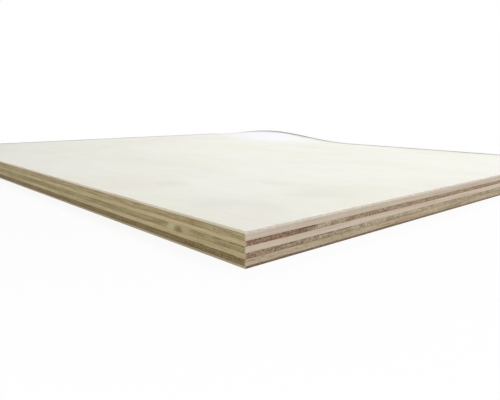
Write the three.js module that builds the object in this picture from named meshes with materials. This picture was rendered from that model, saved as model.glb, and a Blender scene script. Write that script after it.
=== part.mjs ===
import * as THREE from 'three';

// A seven-ply plywood sheet lying flat on its back veneer.
// Millimetres, +Z up. X runs across the sheet, Y along the grain of its face,
// and the origin is on the floor under the middle of the sheet.

// The cut sheet
const sheetWidth = 450;
const sheetLength = 600;

// One long edge has warped: it rises off the floor in a smooth wave near the far corner.
const waveHeight = 12;
const waveLength = 320;
const waveReach = 140; // how far the lifted edge draws the sheet up with it, inwards
const crestFromEnd = 160; // from the far end of the sheet to the highest point of the edge

// The grid that follows the wave
const squaresAcrossWave = 8;
const squaresAlongWave = 20;
const narrowestSquare = 1; // no grid line runs nearer than this to the sheet's own edge

// Veneers. Faces and cores have their grain along the sheet, crossbands across it.
const faceVeneer = { thickness: 1.4, color: 0xf0eee4 };
const crossband = { thickness: 3.3, color: 0xb5a68a };
const core = { thickness: 2.65, color: 0x98806a };
const backVeneer = { thickness: 1.4, color: 0xb9ae98 };
const woodRoughness = 0.75;

// The stack from the floor up, glued face to face, each veneer square to its neighbours
const stack = [
  ['back_veneer', backVeneer],
  ['crossband_lower', crossband],
  ['core_lower', core],
  ['crossband_middle', crossband],
  ['core_upper', core],
  ['crossband_upper', crossband],
  ['face_veneer', faceVeneer],
];

const halfWidth = sheetWidth / 2;
const halfLength = sheetLength / 2;
const crest = halfLength - crestFromEnd;

// How far the warp lifts the sheet off the floor above a point of its plan
function lift(x, y) {
  const inwards = Math.max(0, 1 - (halfWidth - x) / waveReach);
  const along = Math.min(1, Math.abs(y - crest) / (waveLength / 2));
  const swell = (1 + Math.cos(Math.PI * along)) / 2;
  return waveHeight * swell * inwards ** 2;
}

// Grid lines over one side of the sheet: evenly spaced over the wave, none on flat ground
function gridLines(half, from, to, squares) {
  const lines = [-half];
  for (let i = 0; i <= squares; i++) {
    const line = from + ((to - from) * i) / squares;
    if (Math.abs(line) < half - narrowestSquare) lines.push(line);
  }
  lines.push(half);
  return lines;
}

const linesAcross = gridLines(halfWidth, halfWidth - waveReach, halfWidth, squaresAcrossWave);
const linesAlong = gridLines(
  halfLength, crest - waveLength / 2, crest + waveLength / 2, squaresAlongWave,
);

// Splits the squares of a box's underside along the same diagonals as its top's,
// so that a veneer lies close on the one below where both are curved.
function matchDiagonals(box) {
  const underside = box.groups[5];
  const corners = box.index.array;
  for (let i = underside.start; i < underside.start + underside.count; i += 6) {
    const [a, b, d, , c] = corners.slice(i, i + 6);
    corners.set([a, b, c, a, c, d], i);
  }
}

// One veneer between two levels of the stack, laid over the wave
function veneerBetween(bottom, top) {
  const columns = linesAcross.length - 1;
  const rows = linesAlong.length - 1;
  const box = new THREE.BoxGeometry(1, 1, 1, columns, rows, 1);
  matchDiagonals(box);
  const points = box.attributes.position;
  for (let i = 0; i < points.count; i++) {
    const x = linesAcross[Math.round((points.getX(i) + 0.5) * columns)];
    const y = linesAlong[Math.round((points.getY(i) + 0.5) * rows)];
    const level = points.getZ(i) < 0 ? bottom : top;
    points.setXYZ(i, x, y, level + lift(x, y));
  }
  box.computeVertexNormals();
  return box;
}

const sheet = new THREE.Group();
let level = 0;
for (const [name, veneer] of stack) {
  const wood = new THREE.MeshStandardMaterial({
    color: veneer.color,
    roughness: woodRoughness,
    metalness: 0,
  });
  const mesh = new THREE.Mesh(veneerBetween(level, level + veneer.thickness), wood);
  mesh.name = name;
  sheet.add(mesh);
  level += veneer.thickness;
}

export default sheet;
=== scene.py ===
import math

import bmesh
import bpy
from mathutils import Matrix, Vector


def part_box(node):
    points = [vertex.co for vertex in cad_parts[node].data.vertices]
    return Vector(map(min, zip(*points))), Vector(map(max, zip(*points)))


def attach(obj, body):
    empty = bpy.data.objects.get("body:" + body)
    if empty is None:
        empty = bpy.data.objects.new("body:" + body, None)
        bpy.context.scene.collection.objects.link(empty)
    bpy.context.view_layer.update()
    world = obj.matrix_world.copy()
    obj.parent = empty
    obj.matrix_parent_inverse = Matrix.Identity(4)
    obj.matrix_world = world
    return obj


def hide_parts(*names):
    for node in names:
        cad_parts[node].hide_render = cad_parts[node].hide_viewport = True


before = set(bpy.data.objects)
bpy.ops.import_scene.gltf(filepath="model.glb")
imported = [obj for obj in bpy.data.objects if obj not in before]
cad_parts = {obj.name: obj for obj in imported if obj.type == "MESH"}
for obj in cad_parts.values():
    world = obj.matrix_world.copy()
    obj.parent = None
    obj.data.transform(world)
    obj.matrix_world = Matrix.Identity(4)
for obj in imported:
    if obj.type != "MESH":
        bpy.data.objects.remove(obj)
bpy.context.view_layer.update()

mm = 0.001
bpy.ops.object.select_all(action="DESELECT")
print("frame loaded")


# The stack of veneers as packed, from the underside up. Its warp lifts it by the gap
# between the top of the lowest veneer's box and the bottom of the next one's.
order = sorted(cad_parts, key=lambda name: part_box(name)[0].z)
warp = {
    "height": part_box(order[0])[1].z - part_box(order[1])[0].z,
    "length": 320 * mm,  # of the wave, along the edge
    "crest": 140 * mm,  # its place along the edge
    "reach": 140 * mm,  # how far in from the edge it dies out
}
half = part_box(order[0])[1].xy
joins = [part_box(name)[0].z for name in order] + [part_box(order[-1])[1].z - warp["height"]]


camera = {
    "place": (-0.36776, -0.46135, 0.07417),
    "heading": 42.04,  # degrees from +Y towards +X
    "tilt": 10.99,  # degrees below level
    "roll": 0.17,
    "lens": 35.58,
    "sensor": 36,
    "clipStart": 0.01,
}


def setCamera():
    data = bpy.data.cameras.new("camera")
    data.lens = camera["lens"]
    data.sensor_width = camera["sensor"]
    data.clip_start = camera["clipStart"]
    eye = bpy.data.objects.new("camera", data)
    bpy.context.scene.collection.objects.link(eye)
    heading = Matrix.Rotation(math.radians(-camera["heading"]), 4, "Z")
    tilt = Matrix.Rotation(math.radians(90 - camera["tilt"]), 4, "X")
    roll = Matrix.Rotation(math.radians(camera["roll"]), 4, "Z")
    eye.matrix_world = Matrix.Translation(camera["place"]) @ heading @ tilt @ roll
    bpy.context.scene.camera = eye


setCamera()
print("camera set")


# Each veneer is a slab with its four cut edges finely divided, so that the saw's
# roughness, open joints and knots are cut into its mesh. Lengths are in mm.
slab = {
    "eased": 0.4,  # the round of the corners and of the sheet's own arrises
    "rim": 0.8,  # strip round the broad faces where the mesh gets finer
    "border": 0.5,  # points this close to an edge of the sheet are in its border
    "skin": 0.3,  # and points this close to a cut are on it
    "tornContrast": 1.6,
    "splitTip": 0.25,  # share of a split's length over which each end closes
    "smoothAngle": 40,
}
touching = 1e-6


def pick(kind, test):
    # selects the faces or edges of the piece in edit mode that pass a test
    bpy.context.tool_settings.mesh_select_mode = (False, kind == "edges", kind == "faces")
    bpy.ops.mesh.select_all(action="DESELECT")
    mesh = bmesh.from_edit_mesh(bpy.context.object.data)
    for item in getattr(mesh, kind):
        if test(item):
            item.select_set(True)
    bmesh.update_edit_mesh(bpy.context.object.data)


def runsAlong(edge, axis):
    # within about 25 degrees, as the short edges of an eased corner may turn
    step = edge.verts[1].co - edge.verts[0].co
    return abs(step[axis]) > 0.9 * step.length


def isLevel(face):
    return abs(face.normal.z) > 0.99


def inBorder(point, axis):
    # whether a point is in the outermost strip of the sheet on either side
    return half[axis] - abs(point[axis]) < slab["border"] * mm


def onCut(point, axis, side):
    # whether a point is on the cut edge at the low side (-1) or at the high one (1)
    return side * point[axis] > half[axis] - slab["skin"] * mm


def setToGrain(sizes, grain):
    # sizes along the grain, across it and upwards in mm, as X, Y and Z in metres
    along, across, up = (size * mm for size in sizes)
    return (along, across, up) if grain == "X" else (across, along, up)


def cutSlab(veneer, bottom, top):
    bpy.ops.mesh.primitive_cube_add(
        size=1, location=(0, 0, (bottom + top) / 2), scale=(2 * half.x, 2 * half.y, top - bottom)
    )
    bpy.ops.object.transform_apply(location=True, rotation=True, scale=True)
    bpy.ops.object.mode_set(mode="EDIT")
    for axis in (0, 1):
        pick("edges", lambda edge: runsAlong(edge, axis))
        bpy.ops.mesh.subdivide(number_cuts=round(2 * half[axis] / (veneer["square"] * mm)) - 1)

    # the corners, and the long arris on the sheet's own face or back, are eased by sanding
    eased = {"top": top, "bottom": bottom}.get(veneer.get("easedAt"))

    def isEased(edge):
        if runsAlong(edge, 2):
            return all(inBorder(v.co, 0) and inBorder(v.co, 1) for v in edge.verts)
        if eased is None or all(isLevel(face) for face in edge.link_faces):
            return False
        return all(abs(v.co.z - eased) < touching for v in edge.verts)

    pick("edges", isEased)
    bpy.ops.mesh.bevel(offset=slab["eased"] * mm, segments=2)

    # the border gets finer outside a narrow rim
    pick("faces", isLevel)
    bpy.ops.mesh.inset(thickness=slab["rim"] * mm)
    grain = "XY".index(veneer["grain"])
    for axis in (0, 1):
        spacing = veneer["alongGrain"] if axis == grain else veneer["acrossGrain"]
        pick("edges", lambda edge: runsAlong(edge, axis)
             and all(inBorder(v.co, 1 - axis) for v in edge.verts))
        bpy.ops.mesh.subdivide(number_cuts=round(veneer["square"] / spacing) - 1, ngon=True)
    pick("edges", lambda edge: runsAlong(edge, 2))
    bpy.ops.mesh.subdivide(number_cuts=round((top - bottom) / (veneer["row"] * mm)) - 1)
    bpy.ops.object.mode_set(mode="OBJECT")
    return bpy.context.object


def weigh(piece, name, weight):
    # a vertex group with a weight at each vertex that comes from its place
    group = piece.vertex_groups.new(name=name)
    for vertex in piece.data.vertices:
        amount = weight(vertex.co)
        if amount > 0:
            group.add([vertex.index], amount, "REPLACE")


def push(piece, group, axis, distance, pattern=None, spacing=None):
    # moves a group of vertices along an axis, by a pattern where there is one
    move = piece.modifiers.new("push", "DISPLACE")
    move.vertex_group = group
    move.direction = "XYZ"[axis]
    move.strength = distance
    move.mid_level = 0
    if pattern:
        move.texture = pattern
        move.texture_coords = "OBJECT"
        move.texture_coords_object = spacing
    bpy.ops.object.modifier_apply(modifier=move.name)


def openSplits(piece, veneer, top):
    # short splits just under a glue line
    for split in veneer.get("splits", []):
        axis = "XY".index(split["edge"])
        start, end = (x * mm for x in split["span"])

        def inSplit(co):
            run = co[1 - axis] + half[1 - axis]
            if not onCut(co, axis, -1) or not start < run < end:
                return 0
            under = abs(top - split["below"] * mm - co.z) / (veneer["row"] * mm)
            fromTip = min(run - start, end - run) / (end - start)
            return max(0, 1 - under) * min(1, fromTip / slab["splitTip"])

        weigh(piece, "split", inSplit)
        push(piece, "split", axis, split["depth"] * mm)
        piece.vertex_groups.remove(piece.vertex_groups["split"])


def sinkKnot(piece, knot):
    # a knot that dried to a hollow
    def inKnot(co):
        if not onCut(co, 0, -1):
            return 0
        y = (co.y + half.y - knot["fromCorner"] * mm) / (knot["width"] * mm / 2)
        z = (co.z - knot["height"] * mm) / (knot["rise"] * mm / 2)
        return max(0, 1 - math.hypot(y, z) ** 2)

    weigh(piece, "knot", inKnot)
    push(piece, "knot", 0, knot["depth"] * mm)


def roughenEdges(piece, veneer):
    # tears fibres out of the sawn edges, always inwards; an empty stretches them
    bpy.ops.object.empty_add()
    spacing = bpy.context.object
    spacing.scale = setToGrain(veneer["fibre"], veneer["grain"])
    bpy.context.view_layer.update()
    fibres = bpy.data.textures.new("torn fibres", "CLOUDS")
    fibres.noise_scale = 1
    fibres.noise_depth = 1
    fibres.contrast = slab["tornContrast"]
    fibres.use_clamp = True
    bpy.ops.object.select_all(action="DESELECT")
    bpy.context.view_layer.objects.active = piece
    piece.select_set(True)
    grain = "XY".index(veneer["grain"])
    for axis in (0, 1):
        depth = veneer["endRelief"] if axis == grain else veneer["longRelief"]
        for side in (-1, 1):
            group = "sawn" + "XY"[axis] + ("low" if side < 0 else "high")
            weigh(piece, group, lambda co: float(onCut(co, axis, side)))
            push(piece, group, axis, -side * depth * mm, fibres, spacing)
    bpy.data.objects.remove(spacing)
    bpy.data.textures.remove(fibres)


def keepPlaces(piece, sawn):
    # the grain follows where each point lies before the sheet warps, and dirt and shade
    # follow how far it is sunk below the saw's cut
    piece.data.attributes.new("laid", "FLOAT_VECTOR", "POINT")
    piece.data.attributes.new("sunk", "FLOAT", "POINT")
    laid = piece.data.attributes["laid"].data
    sunk = piece.data.attributes["sunk"].data
    for i, vertex in enumerate(piece.data.vertices):
        laid[i].vector = vertex.co
        sunk[i].value = (vertex.co - sawn[i]).length


def liftAt(co):
    # the share of the warp's height at a point
    along = (co.y - warp["crest"]) / (warp["length"] / 2)
    inwards = 1 - (half.x - co.x) / warp["reach"]
    return (1 + math.cos(math.pi * along)) / 2 * inwards**2 if abs(along) < 1 and inwards > 0 else 0


def layVeneer(name, veneer):
    place = order.index(name)
    bottom, top = joins[place], joins[place + 1]
    piece = cutSlab(veneer, bottom, top)
    piece.name = piece.data.name = "finished_" + name
    sawn = [vertex.co.copy() for vertex in piece.data.vertices]
    openSplits(piece, veneer, top)
    if "knot" in veneer:
        sinkKnot(piece, veneer["knot"])
    roughenEdges(piece, veneer)
    keepPlaces(piece, sawn)
    weigh(piece, "warped", liftAt)
    push(piece, "warped", 2, warp["height"])
    piece.vertex_groups.clear()
    bpy.ops.object.shade_smooth_by_angle(angle=math.radians(slab["smoothAngle"]))
    piece.data.materials.append(woodFinish(veneer, bottom, top))
    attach(piece, "root")
    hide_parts(name)
    piece.select_set(False)
    print(piece.name, "laid:", len(piece.data.vertices), "points")


def fromHex(code):
    # an sRGB hex value as a linear colour
    channels = [int(code[i : i + 2], 16) / 255 for i in (1, 3, 5)]
    linear = [c / 12.92 if c <= 0.04045 else ((c + 0.055) / 1.055) ** 2.4 for c in channels]
    return (*linear, 1)


def addNode(tree, kind, inputs=None, stops=None, **settings):
    # a node with its settings; inputs are values or other nodes' sockets
    node = tree.nodes.new(kind)
    if stops:
        node.color_ramp.elements.remove(node.color_ramp.elements[1])
    for name, value in settings.items():
        setattr(node, name, value)
    for name, value in (inputs or {}).items():
        if isinstance(value, bpy.types.NodeSocket):
            tree.links.new(value, node.inputs[name])
        else:
            node.inputs[name].default_value = value
    for i, (position, colour) in enumerate(stops or []):
        stop = node.color_ramp.elements[0] if i == 0 else node.color_ramp.elements.new(position)
        stop.position = position
        stop.color = colour
    return node


# A wood finish is its base colours on the three kinds of cut (end grain and long grain on
# the sawn edges, and the broad peeled face), each as places along the cut in mm and the
# colour there, and then a list of layers over them.
wood = {
    "ior": 1.45,
    "roughness": (0.65, 0.85),
    "fibreNoise": (0.3, 0.7),  # its range, from which the roughness comes
    "facing": (0.5, 0.8),  # how squarely a surface faces as one cut turns into another
    "drift": 25,  # mm, the size of the swirls that a patch wanders in
    "nextNoise": (73, 31, 0),  # mm from one layer's noise to the next one's
}
firstColour, secondColour, mixedColour = 6, 7, 2  # sockets of a Mix node, by number


def sortCuts(tree, grain):
    # how much each kind of cut shows, from the way the surface faces
    normal = addNode(tree, "ShaderNodeTexCoord").outputs["Normal"]
    either = addNode(tree, "ShaderNodeVectorMath", {0: normal}, operation="ABSOLUTE").outputs[0]
    facing = addNode(tree, "ShaderNodeSeparateXYZ", {"Vector": either}).outputs
    low, high = wood["facing"]
    cuts = {"every": 1.0}
    for cut, axis in (("end", grain), ("long", "Y" if grain == "X" else "X"), ("broad", "Z")):
        cuts[cut] = addNode(
            tree, "ShaderNodeMapRange", {"Value": facing[axis], "From Min": low, "From Max": high}
        ).outputs[0]
    return cuts


def measure(tree, laid, place, bottom, top):
    # how far off the nearest glue joint is, the nearest upright arris, the nearest mill
    # edge and the near corner, and how deep under the saw's cut a point lies
    middle = addNode(
        tree, "ShaderNodeMath", {0: place["Z"], 1: (bottom + top) / 2}, operation="SUBTRACT"
    ).outputs[0]
    fromMiddle = addNode(tree, "ShaderNodeMath", {0: middle}, operation="ABSOLUTE").outputs[0]
    joint = addNode(
        tree, "ShaderNodeMath", {0: (top - bottom) / 2, 1: fromMiddle}, operation="SUBTRACT"
    ).outputs[0]
    folded = addNode(tree, "ShaderNodeVectorMath", {0: laid}, operation="ABSOLUTE").outputs[0]
    inset = addNode(
        tree, "ShaderNodeVectorMath", {0: folded, 1: (-1, -1, 0), 2: (half.x, half.y, 0)},
        operation="MULTIPLY_ADD",
    ).outputs[0]
    arris = addNode(tree, "ShaderNodeVectorMath", {0: inset}, operation="LENGTH").outputs["Value"]
    ahead = addNode(
        tree, "ShaderNodeVectorMath", {0: (half.x, half.y, 0), 1: laid}, operation="SUBTRACT"
    ).outputs[0]
    gaps = addNode(tree, "ShaderNodeSeparateXYZ", {"Vector": ahead}).outputs
    mill = addNode(tree, "ShaderNodeMath", {0: gaps["X"], 1: gaps["Y"]}, operation="MINIMUM").outputs[0]
    corner = addNode(
        tree, "ShaderNodeVectorMath", {0: laid, 1: (-half.x, -half.y, 0)}, operation="DISTANCE"
    ).outputs["Value"]
    depth = addNode(tree, "ShaderNodeAttribute", attribute_name="sunk").outputs["Fac"]
    return {"joint": joint, "arris": arris, "mill": mill, "corner": corner, "depth": depth}


def baseColour(tree, veneer, place, cuts):
    # the broad face has its colours across the grain, as end grain has
    lengthwise = veneer["grain"]
    crosswise = "Y" if lengthwise == "X" else "X"
    colour = fromHex(veneer["end"][0][1])
    for cut, direction in (("end", crosswise), ("long", lengthwise), ("broad", crosswise)):
        if cut in veneer:
            span = half["XY".index(direction)]
            run = addNode(
                tree, "ShaderNodeMapRange",
                {"Value": place[direction], "From Min": -span, "From Max": span},
            ).outputs[0]
            stops = [(x * mm / (2 * span), fromHex(code)) for x, code in veneer[cut]]
            base = addNode(tree, "ShaderNodeValToRGB", {"Fac": run}, stops).outputs["Color"]
            colour = addNode(
                tree, "ShaderNodeMix", {0: cuts[cut], firstColour: colour, secondColour: base},
                data_type="RGBA",
            ).outputs[mixedColour]
    return colour


# A layer is a noise whose marks have a size along the grain, across it and upwards in mm,
# or a single spot with a place. Or it goes by the distance in mm to a glue joint, an upright
# arris or a mill edge (the far two, which weren't cut to size), made ragged by its noise, or
# by the depth under the saw's cut. Its band says from where to where it comes in, up to its
# strength. It may wander by some mm, and fade from one distance from the near corner to
# another, down to a share of itself.
def drawPattern(tree, layer, grain, shift, laid):
    source = laid
    if "wander" in layer:
        drift = addNode(
            tree, "ShaderNodeTexNoise", {"Vector": laid, "Scale": 1 / (wood["drift"] * mm), "Detail": 4}
        ).outputs["Color"]
        centred = addNode(
            tree, "ShaderNodeVectorMath", {0: drift, 1: (0.5, 0.5, 0.5)}, operation="SUBTRACT"
        ).outputs[0]
        source = addNode(
            tree, "ShaderNodeVectorMath", {0: centred, 1: [2 * layer["wander"] * mm] * 3, 2: laid},
            operation="MULTIPLY_ADD",
        ).outputs[0]
    centre = layer.get("place", [step * shift for step in wood["nextNoise"]])
    slant = math.radians(layer.get("slant", 0))
    spaced = addNode(
        tree, "ShaderNodeMapping",
        {
            "Vector": source,
            "Location": [x * mm for x in centre],
            "Rotation": (slant, 0, 0) if grain == "X" else (0, slant, 0),
            "Scale": setToGrain(layer["size"], grain),
        },
        vector_type="TEXTURE",
    ).outputs[0]
    if "place" in layer:
        return addNode(tree, "ShaderNodeVectorMath", {0: spaced}, operation="LENGTH").outputs["Value"]
    return addNode(
        tree, "ShaderNodeTexNoise", {"Vector": spaced, "Scale": 1, "Detail": 2}
    ).outputs["Fac"]


def addLayer(tree, layer, pattern, cuts, distances, colour):
    low, high = layer["band"]
    if "by" in layer:
        # a ragged distance is pushed to and fro by the layer's noise
        ragged = layer.get("ragged", 0)
        low, high = (low + ragged) * mm, (high + ragged) * mm
        pattern = addNode(
            tree, "ShaderNodeMath", {0: pattern, 1: 2 * ragged * mm, 2: distances[layer["by"]]},
            operation="MULTIPLY_ADD",
        ).outputs[0]
    shown = addNode(
        tree, "ShaderNodeMapRange",
        {"Value": pattern, "From Min": low, "From Max": high, "To Max": layer["strength"]},
        interpolation_type="SMOOTHSTEP",
    ).outputs[0]
    if "fades" in layer:
        start, end, rest = layer["fades"]
        left = addNode(
            tree, "ShaderNodeMapRange",
            {"Value": distances["corner"], "From Min": start * mm, "From Max": end * mm,
             "To Min": 1, "To Max": rest},
        ).outputs[0]
        shown = addNode(tree, "ShaderNodeMath", {0: shown, 1: left}, operation="MULTIPLY").outputs[0]
    for cut in layer["on"]:
        factor = addNode(
            tree, "ShaderNodeMath", {0: shown, 1: cuts[cut]}, operation="MULTIPLY"
        ).outputs[0]
        colour = addNode(
            tree, "ShaderNodeMix",
            {0: factor, firstColour: colour, secondColour: fromHex(layer["colour"])},
            data_type="RGBA", blend_type=layer.get("blend", "MULTIPLY"),
        ).outputs[mixedColour]
    return colour


def raiseFibres(tree, veneer, laid, colour):
    # the fibres stand up a little and dull the surface
    stretched = addNode(
        tree, "ShaderNodeMapping",
        {"Vector": laid, "Scale": setToGrain(veneer["fibre"], veneer["grain"])},
        vector_type="TEXTURE",
    ).outputs[0]
    fibres = addNode(
        tree, "ShaderNodeTexNoise", {"Vector": stretched, "Scale": 1, "Detail": 3}
    ).outputs["Fac"]
    low, high = wood["fibreNoise"]
    smooth, rough = wood["roughness"]
    roughness = addNode(
        tree, "ShaderNodeMapRange",
        {"Value": fibres, "From Min": low, "From Max": high, "To Min": smooth, "To Max": rough},
    ).outputs[0]
    bump = addNode(
        tree, "ShaderNodeBump", {"Height": fibres, "Distance": veneer["bump"] * mm, "Strength": 1}
    ).outputs["Normal"]
    surface = addNode(
        tree, "ShaderNodeBsdfPrincipled",
        {"Base Color": colour, "Roughness": roughness, "IOR": wood["ior"], "Normal": bump},
    )
    addNode(tree, "ShaderNodeOutputMaterial", {"Surface": surface.outputs[0]})


def woodFinish(veneer, bottom, top):
    material = bpy.data.materials.new(veneer["finish"])
    material.use_nodes = True
    tree = material.node_tree
    tree.nodes.clear()
    laid = addNode(tree, "ShaderNodeAttribute", attribute_name="laid").outputs["Vector"]
    place = addNode(tree, "ShaderNodeSeparateXYZ", {"Vector": laid}).outputs
    cuts = sortCuts(tree, veneer["grain"])
    distances = measure(tree, laid, place, bottom, top)
    colour = baseColour(tree, veneer, place, cuts)
    for i, layer in enumerate(veneer["layers"]):
        # every layer has its own stretch of noise, except the saw's marks, which run on
        # from veneer to veneer
        shift = 0 if layer.get("through") else veneer["seed"] + i
        pattern = drawPattern(tree, layer, veneer["grain"], shift, laid) if "size" in layer else 0
        colour = addLayer(tree, layer, pattern, cuts, distances, colour)
    raiseFibres(tree, veneer, laid, colour)
    return material


# The saw leaves upright marks down the whole edge, about 2 mm apart. Wherever the wood has
# torn out or split, painted shade and dirt darken it, and the four upright arrises are rubbed pale.
sawMarks = {
    "on": ["end", "long"], "size": (1.8, 1.8, 60), "band": (0.5, 0.75), "strength": 0.15,
    "colour": "#D8D0C2", "through": True,
}
# painted shade and dirt: the deeper a point lies under the saw's cut, the darker it is drawn
paintedShadeAndDirtInHollows = {
    "on": ["every"], "by": "depth", "band": (0.1, 0.7), "strength": 0.8, "colour": "#8A7A62",
}
rubbedArris = {
    "on": ["every"], "by": "arris", "band": (1.3, 0.2), "strength": 0.28, "colour": "#CDB89C",
    "blend": "LIGHTEN",
}


# Sawn poplar lies crosswise: pale long grain at the ends of the sheet, olive end grain
# with long growth rings along its sides, both with faint soft tints. Its lathe checks,
# 0.1 mm wide, are drawn 0.5 mm wide so that they show.
poplar = {
    "slot": "crossband_wood",
    "grain": "X",
    "square": 15,  # mm, the squares that a slab is first divided into
    "alongGrain": 2.5,  # mm from point to point of its edges
    "acrossGrain": 0.5,
    "row": 0.37,  # mm from row to row upwards
    "fibre": (16, 0.8, 0.6),  # mm along, across and upwards
    "endRelief": 0.14,  # mm, how deep the saw tears end grain
    "longRelief": 0.06,
    "bump": 0.08,  # mm, how far fibres stand up
    "layers": [
        # one tint pinker and one greener
        {"on": ["end", "long"], "size": (60, 16, 4), "band": (0.48, 0.66), "strength": 0.35,
         "colour": "#F2DCD6"},
        {"on": ["end", "long"], "size": (50, 12, 3), "band": (0.48, 0.66), "strength": 0.35,
         "colour": "#DFE8D2"},
        # streaks of long grain, broad and fine
        {"on": ["long"], "size": (90, 3, 0.9), "band": (0.4, 0.7), "strength": 0.4, "colour": "#D9CDB8"},
        {"on": ["long"], "size": (24, 0.8, 0.35), "band": (0.45, 0.7), "strength": 0.35,
         "colour": "#D6C6AE"},
        # growth rings, and coarse fibre ends
        {"on": ["end"], "size": (90, 20, 1.1), "band": (0.42, 0.62), "strength": 0.5,
         "colour": "#C2B290"},
        {"on": ["end"], "size": (16, 2.2, 0.7), "band": (0.45, 0.7), "strength": 0.28,
         "colour": "#AA9A78"},
        # lathe checks, and shade along the glue
        {"on": ["end"], "size": (40, 0.5, 2.4), "slant": 40, "band": (0.62, 0.7), "strength": 0.4,
         "colour": "#8C7C62"},
        {"on": ["end"], "by": "joint", "band": (0.6, 0), "strength": 0.8, "colour": "#C9C0AE"},
        sawMarks,
        paintedShadeAndDirtInHollows,
        rubbedArris,
    ],
}


# the lowest is darker and coarser, and specked where it tore near the corner
crossbandLower = {
    **poplar,
    "finish": "sawn poplar crossband, dark",
    "seed": 3,
    "endRelief": 0.2,
    "long": [(0, "#C2B29A")],
    "end": [(0, "#887850")],
    "layers": [
        *poplar["layers"],
        {"on": ["long"], "size": (30, 1.6, 0.8), "band": (0.5, 0.64), "strength": 0.45,
         "colour": "#A5886C"},
        {"on": ["end"], "size": (30, 2.2, 0.6), "band": (0.55, 0.65), "strength": 0.55,
         "colour": "#B9A37E", "blend": "MIX", "fades": (20, 45, 0.3)},
        {"on": ["long"], "size": (5, 2, 0.8), "band": (0.5, 0.65), "strength": 0.35, "colour": "#AC9883"},
        {"on": ["end"], "size": (30, 2.4, 0.8), "band": (0.5, 0.62), "strength": 0.5,
         "colour": "#A08468", "fades": (30, 90, 0.6)},
    ],
}
layVeneer("crossband_lower", crossbandLower)


# the middle one has a pin knot beside the near corner, in clear wood that bends round it
crossbandMiddle = {
    **poplar,
    "finish": "sawn poplar crossband, with a pin knot",
    "seed": 7,
    "long": [(0, "#D6C6B6")],
    "end": [(0, "#A49870")],
    "knot": {"fromCorner": 54.4, "height": 8.4, "width": 10, "rise": 4, "depth": 0.3},
    "layers": [
        *poplar["layers"],
        # the clear wood on either side of the knot, and the knot
        {"on": ["end"], "place": (-225, -240.2, 9), "size": (20, 5.4, 16), "slant": 38, "band": (1, 0.4),
         "strength": 0.8, "colour": "#BAAF86", "blend": "MIX", "wander": 0.3},
        {"on": ["end"], "place": (-225, -251.8, 9), "size": (20, 7, 16), "slant": 25, "band": (1, 0.3),
         "strength": 0.7, "colour": "#AEA17C", "blend": "MIX", "wander": 0.3},
        {"on": ["every"], "place": (-225, -245.4, 8.3), "size": (20, 5.7, 3), "band": (1, 0.3),
         "strength": 0.85, "colour": "#83744D", "blend": "MIX"},
    ],
    "splits": [
        {"edge": "X", "span": (0.6, 3.8), "below": 0.37, "depth": 0.5},
        {"edge": "X", "span": (7, 11.8), "below": 0.37, "depth": 0.6},
        {"edge": "X", "span": (17.3, 25.2), "below": 0.37, "depth": 0.6},
    ],
}
layVeneer("crossband_middle", crossbandMiddle)


crossbandUpper = {
    **poplar,
    "finish": "sawn poplar crossband, olive",
    "seed": 13,
    "long": [(0, "#CEC0B0")],
    "end": [(0, "#AC9E78")],
}
layVeneer("crossband_upper", crossbandUpper)


# Sawn lauan cores lie lengthwise, in strips: olive long grain along the sides of the
# sheet and, at its ends, coarse red-brown end grain. Its open pores, 0.3 mm across, are
# drawn 1 to 2 mm across so that they show.
strip = {"red": "#987860", "brown": "#AA9478", "pale": "#BCB094"}  # the tones of the strips
lauan = {
    "slot": "core_wood",
    "grain": "Y",
    "square": 15,
    "alongGrain": 2.5,
    "acrossGrain": 0.5,
    "row": 0.38,
    "fibre": (14, 0.8, 0.7),
    "endRelief": 0.2,
    "longRelief": 0.08,
    "bump": 0.12,
    "layers": [
        # streaks and mottle of long grain
        {"on": ["long"], "size": (80, 3, 0.9), "band": (0.4, 0.7), "strength": 0.5, "colour": "#D8CDB2"},
        {"on": ["long"], "size": (14, 6, 0.9), "band": (0.45, 0.65), "strength": 0.45,
         "colour": "#D0C4AA"},
        {"on": ["long"], "size": (20, 0.8, 0.35), "band": (0.5, 0.7), "strength": 0.5,
         "colour": "#BFB092"},
        # open pores
        {"on": ["end"], "size": (60, 1.3, 0.9), "band": (0.46, 0.6), "strength": 0.5,
         "colour": "#866B5C", "fades": (100, 220, 0.45)},
        # darker patches, small and large
        {"on": ["end"], "size": (60, 7, 2), "band": (0.45, 0.62), "strength": 0.4, "colour": "#A58F78"},
        {"on": ["end"], "size": (60, 26, 3), "band": (0.45, 0.6), "strength": 0.3, "colour": "#B29C86"},
        # pale fibre between the pores, and shade along the glue
        {"on": ["end"], "size": (60, 1.1, 0.7), "band": (0.54, 0.66), "strength": 0.36,
         "colour": "#E6D6BC", "blend": "MIX", "fades": (100, 220, 0.3)},
        {"on": ["end"], "by": "joint", "band": (0.4, 0), "strength": 0.6, "colour": "#B9A894"},
        sawMarks,
        paintedShadeAndDirtInHollows,
        rubbedArris,
    ],
}


coreLower = {
    **lauan,
    "finish": "sawn lauan core, olive",
    "seed": 17,
    "long": [(0, "#BCAE88")],
    "end": [(0, strip["brown"]), (35, strip["brown"]), (60, strip["pale"])],
    "layers": [
        *lauan["layers"],
        # a dark streak under the knot
        {"on": ["long"], "place": (-225, -245.6, 7.6), "size": (5.5, 20, 1.5), "band": (1, 0.3),
         "strength": 0.6, "colour": "#8E7F59", "blend": "MIX"},
        # the largest pores, close to the corner
        {"on": ["end"], "size": (60, 1.9, 1.1), "band": (0.5, 0.6), "strength": 0.5,
         "colour": "#7D6156", "fades": (45, 110, 0.2)},
    ],
    "splits": [
        {"edge": "Y", "span": (29, 36), "below": 0.38, "depth": 0.45},
        {"edge": "Y", "span": (45, 66), "below": 0.38, "depth": 0.5},
        {"edge": "Y", "span": (70, 82), "below": 0.76, "depth": 0.45},
    ],
}
layVeneer("core_lower", coreLower)


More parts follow.
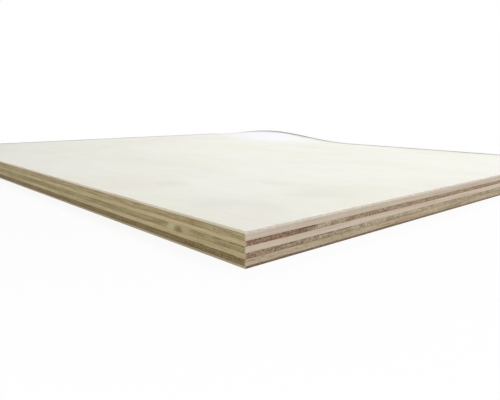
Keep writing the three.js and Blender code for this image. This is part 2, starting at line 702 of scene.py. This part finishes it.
coreUpper = {
    **lauan,
    "finish": "sawn lauan core, red",
    "seed": 23,
    "long": [(0, "#BCAE88")],
    "end": [(0, strip["red"]), (40, strip["red"]), (55, strip["pale"]), (80, strip["brown"])],
    "splits": [{"edge": "Y", "span": (36, 51), "below": 0.38, "depth": 0.8}],
}
layVeneer("core_upper", coreUpper)


# Sanded birch faces the sheet: almost white, with a faint cloudy figure, soft grey
# patches and short flecks, a painted cooler sheen over the warp, and greyed along its two
# mill edges. A patch is its place, how far it reaches and how strong it is.
greyPatches = [
    (-195, -240, 20, 0.25), (-180, -260, 15, 0.2), (-125, -255, 25, 0.2), (-120, -210, 15, 0.25),
    (-175, -160, 15, 0.15),
]
birchFace = {
    "finish": "sanded birch face",
    "slot": "face_veneer_wood",
    "grain": "Y",
    "square": 5,
    "alongGrain": 1.25,
    "acrossGrain": 0.5,
    "row": 0.35,
    "easedAt": "top",  # the arris of the broad side that shows
    "fibre": (10, 0.5, 0.4),
    "endRelief": 0.14,
    "longRelief": 0.1,
    "bump": 0.03,
    "seed": 29,
    "end": [(0, "#E2DACE")],
    "long": [(0, "#D8CEB6")],
    "broad": [(0, "#F1F0E8")],
    "layers": [
        # streaks of the cut edges
        {"on": ["end", "long"], "size": (40, 4, 0.5), "band": (0.4, 0.7), "strength": 0.6,
         "colour": "#D0C3AB"},
        # the cloudy figure
        {"on": ["broad"], "size": (140, 70, 60), "band": (0.35, 0.65), "strength": 0.24,
         "colour": "#F7F5E3", "wander": 12},
        {"on": ["broad"], "size": (90, 50, 60), "band": (0.42, 0.65), "strength": 0.16,
         "colour": "#EEEBF1", "wander": 10},
        {"on": ["broad"], "size": (30, 14, 60), "band": (0.5, 0.7), "strength": 0.12,
         "colour": "#ECECE6", "wander": 6},
        # fine grain lines and short flecks
        {"on": ["broad"], "size": (90, 2.2, 2), "band": (0.45, 0.75), "strength": 0.11,
         "colour": "#EDE6D6"},
        {"on": ["broad"], "size": (2.5, 0.7, 2), "band": (0.66, 0.74), "strength": 0.35,
         "colour": "#D9CBB0"},
        *[
            {"on": ["broad"], "place": (x, y, 18), "size": (1.3 * reach, reach, 30), "band": (1, 0.2),
             "strength": strength, "colour": "#E9EAEA", "wander": 9}
            for x, y, reach, strength in greyPatches
        ],
        # painted reflection: cooler and whiter over the warp, where its slope would catch bluish light
        {"on": ["broad"], "place": (188, 115, 24), "size": (130, 52, 40), "band": (1, 0.3),
         "strength": 0.8, "colour": "#F6F7FD", "blend": "MIX", "wander": 15},
        # greyed along the mill edges, darkest at the arris
        {"on": ["broad"], "by": "mill", "size": (60, 9, 60), "ragged": 12, "band": (16, 0),
         "strength": 0.38, "colour": "#A09E9C", "wander": 3},
        {"on": ["broad"], "by": "mill", "size": (20, 4, 60), "ragged": 3, "band": (11, 0),
         "strength": 0.85, "colour": "#706C6C"},
        sawMarks,
        paintedShadeAndDirtInHollows,
    ],
}
layVeneer("face_veneer", birchFace)


# Unsanded birch backs it: a duller grade with a plainer brown figure, specked on its near
# end and darker along the lower arris there.
birchBack = {
    **birchFace,
    "finish": "unsanded birch back",
    "slot": "back_veneer_wood",
    "seed": 41,
    "easedAt": "bottom",
    "bump": 0.05,
    "endRelief": 0.12,
    "end": [(0, "#8C7E60")],
    "long": [(0, "#B2A88C")],
    "broad": [(0, "#CDBD9F")],
    "layers": [
        # streaks of the cut edges
        {"on": ["end", "long"], "size": (40, 3, 0.5), "band": (0.4, 0.7), "strength": 0.6,
         "colour": "#C9BBA4"},
        {"on": ["end"], "size": (40, 2, 0.8), "band": (0.45, 0.65), "strength": 0.6, "colour": "#B8A08E"},
        # the brown figure, its grain lines and flecks
        {"on": ["broad"], "size": (300, 22, 30), "band": (0.35, 0.65), "strength": 0.7,
         "colour": "#E2D3B8"},
        {"on": ["broad"], "size": (60, 1.4, 2), "band": (0.45, 0.75), "strength": 0.6,
         "colour": "#D9C8A8"},
        {"on": ["broad"], "size": (2.5, 0.7, 2), "band": (0.6, 0.7), "strength": 0.6, "colour": "#B79F7C"},
        # a darker line along the lower arris of the near end, and specks there
        {"on": ["every"], "place": (-150, -300, 0), "size": (6, 150, 0.5), "band": (1, 0.4),
         "strength": 0.5, "colour": "#6C5650", "wander": 0.3},
        {"on": ["end"], "size": (40, 2, 0.6), "band": (0.5, 0.6), "strength": 0.55,
         "colour": "#77605A", "fades": (120, 260, 0.4)},
        sawMarks,
        paintedShadeAndDirtInHollows,
        rubbedArris,
    ],
}
layVeneer("back_veneer", birchBack)


studio = {
    "floorSize": 40.0,
    "floorDrop": 0.2 * mm,  # under the sheet
    "floorColour": "#F2F2F2",
    "floorWhite": (0.9, 1.0),  # how white it is drawn round the sheet, and far off
    "whiteFrom": 0.3,  # the distances from the middle between which it turns from one to
    "whiteTo": 0.52,  # the other
    "ambient": 0.31,
    "lamps": [
        {"name": "top softbox", "place": (0.3, 0.3, 0.9), "aim": (0, 0, 0), "size": 0.4, "power": 4.2},
        {"name": "front softbox", "place": (0.2, -0.7, 0.7), "aim": (0, 0, 0), "size": 0.4, "power": 3.4},
        {"name": "left softbox", "place": (-1.4, -0.8, 0.3), "aim": (0, 0, 0), "size": 0.4, "power": 8},
    ],
}


def setLamp(lamp):
    data = bpy.data.lights.new(lamp["name"], "AREA")
    data.size = lamp["size"]
    data.energy = lamp["power"]
    softbox = bpy.data.objects.new(lamp["name"], data)
    bpy.context.scene.collection.objects.link(softbox)
    aim = Vector(lamp["aim"]) - Vector(lamp["place"])
    turn = aim.to_track_quat("-Z", "Y").to_matrix().to_4x4()
    softbox.matrix_world = Matrix.Translation(lamp["place"]) @ turn


def whiteRays(tree):
    # 1 for camera, glossy and transmitted rays, which see the background plain white
    path = addNode(tree, "ShaderNodeLightPath").outputs
    direct = addNode(
        tree, "ShaderNodeMath", {0: path["Is Camera Ray"], 1: path["Is Glossy Ray"]}, operation="ADD"
    ).outputs[0]
    return addNode(
        tree, "ShaderNodeMath", {0: direct, 1: path["Is Transmission Ray"]}, operation="ADD",
        use_clamp=True,
    ).outputs[0]


def setFloor():
    bpy.ops.mesh.primitive_plane_add(size=studio["floorSize"], location=(0, 0, -studio["floorDrop"]))
    floor = bpy.context.object
    floor.name = "floor"
    material = bpy.data.materials.new("pale studio floor")
    material.use_nodes = True
    tree = material.node_tree
    tree.nodes.clear()
    place = addNode(tree, "ShaderNodeTexCoord").outputs["Object"]
    away = addNode(tree, "ShaderNodeVectorMath", {0: place}, operation="LENGTH").outputs["Value"]
    near, far = studio["floorWhite"]
    white = addNode(
        tree, "ShaderNodeMapRange",
        {"Value": away, "From Min": studio["whiteFrom"], "From Max": studio["whiteTo"],
         "To Min": near, "To Max": far},
    ).outputs[0]
    share = addNode(
        tree, "ShaderNodeMath", {0: white, 1: whiteRays(tree)}, operation="MULTIPLY"
    ).outputs[0]
    paint = addNode(tree, "ShaderNodeBsdfDiffuse", {"Color": fromHex(studio["floorColour"])})
    glow = addNode(tree, "ShaderNodeEmission", {"Strength": 1.0})
    surface = addNode(
        tree, "ShaderNodeMixShader", {0: share, 1: paint.outputs[0], 2: glow.outputs[0]}
    )
    addNode(tree, "ShaderNodeOutputMaterial", {"Surface": surface.outputs[0]})
    floor.data.materials.append(material)


def setWorld():
    world = bpy.data.worlds.new("studio")
    bpy.context.scene.world = world
    world.use_nodes = True
    tree = world.node_tree
    tree.nodes.clear()
    level = addNode(
        tree, "ShaderNodeMapRange",
        {"Value": whiteRays(tree), "To Min": studio["ambient"], "To Max": 1.0},
    ).outputs[0]
    sky = addNode(tree, "ShaderNodeBackground", {"Color": (1, 1, 1, 1), "Strength": level})
    addNode(tree, "ShaderNodeOutputWorld", {"Surface": sky.outputs[0]})


setFloor()
setWorld()
for lamp in studio["lamps"]:
    setLamp(lamp)
bpy.context.scene.view_settings.view_transform = "Standard"
print("studio set")
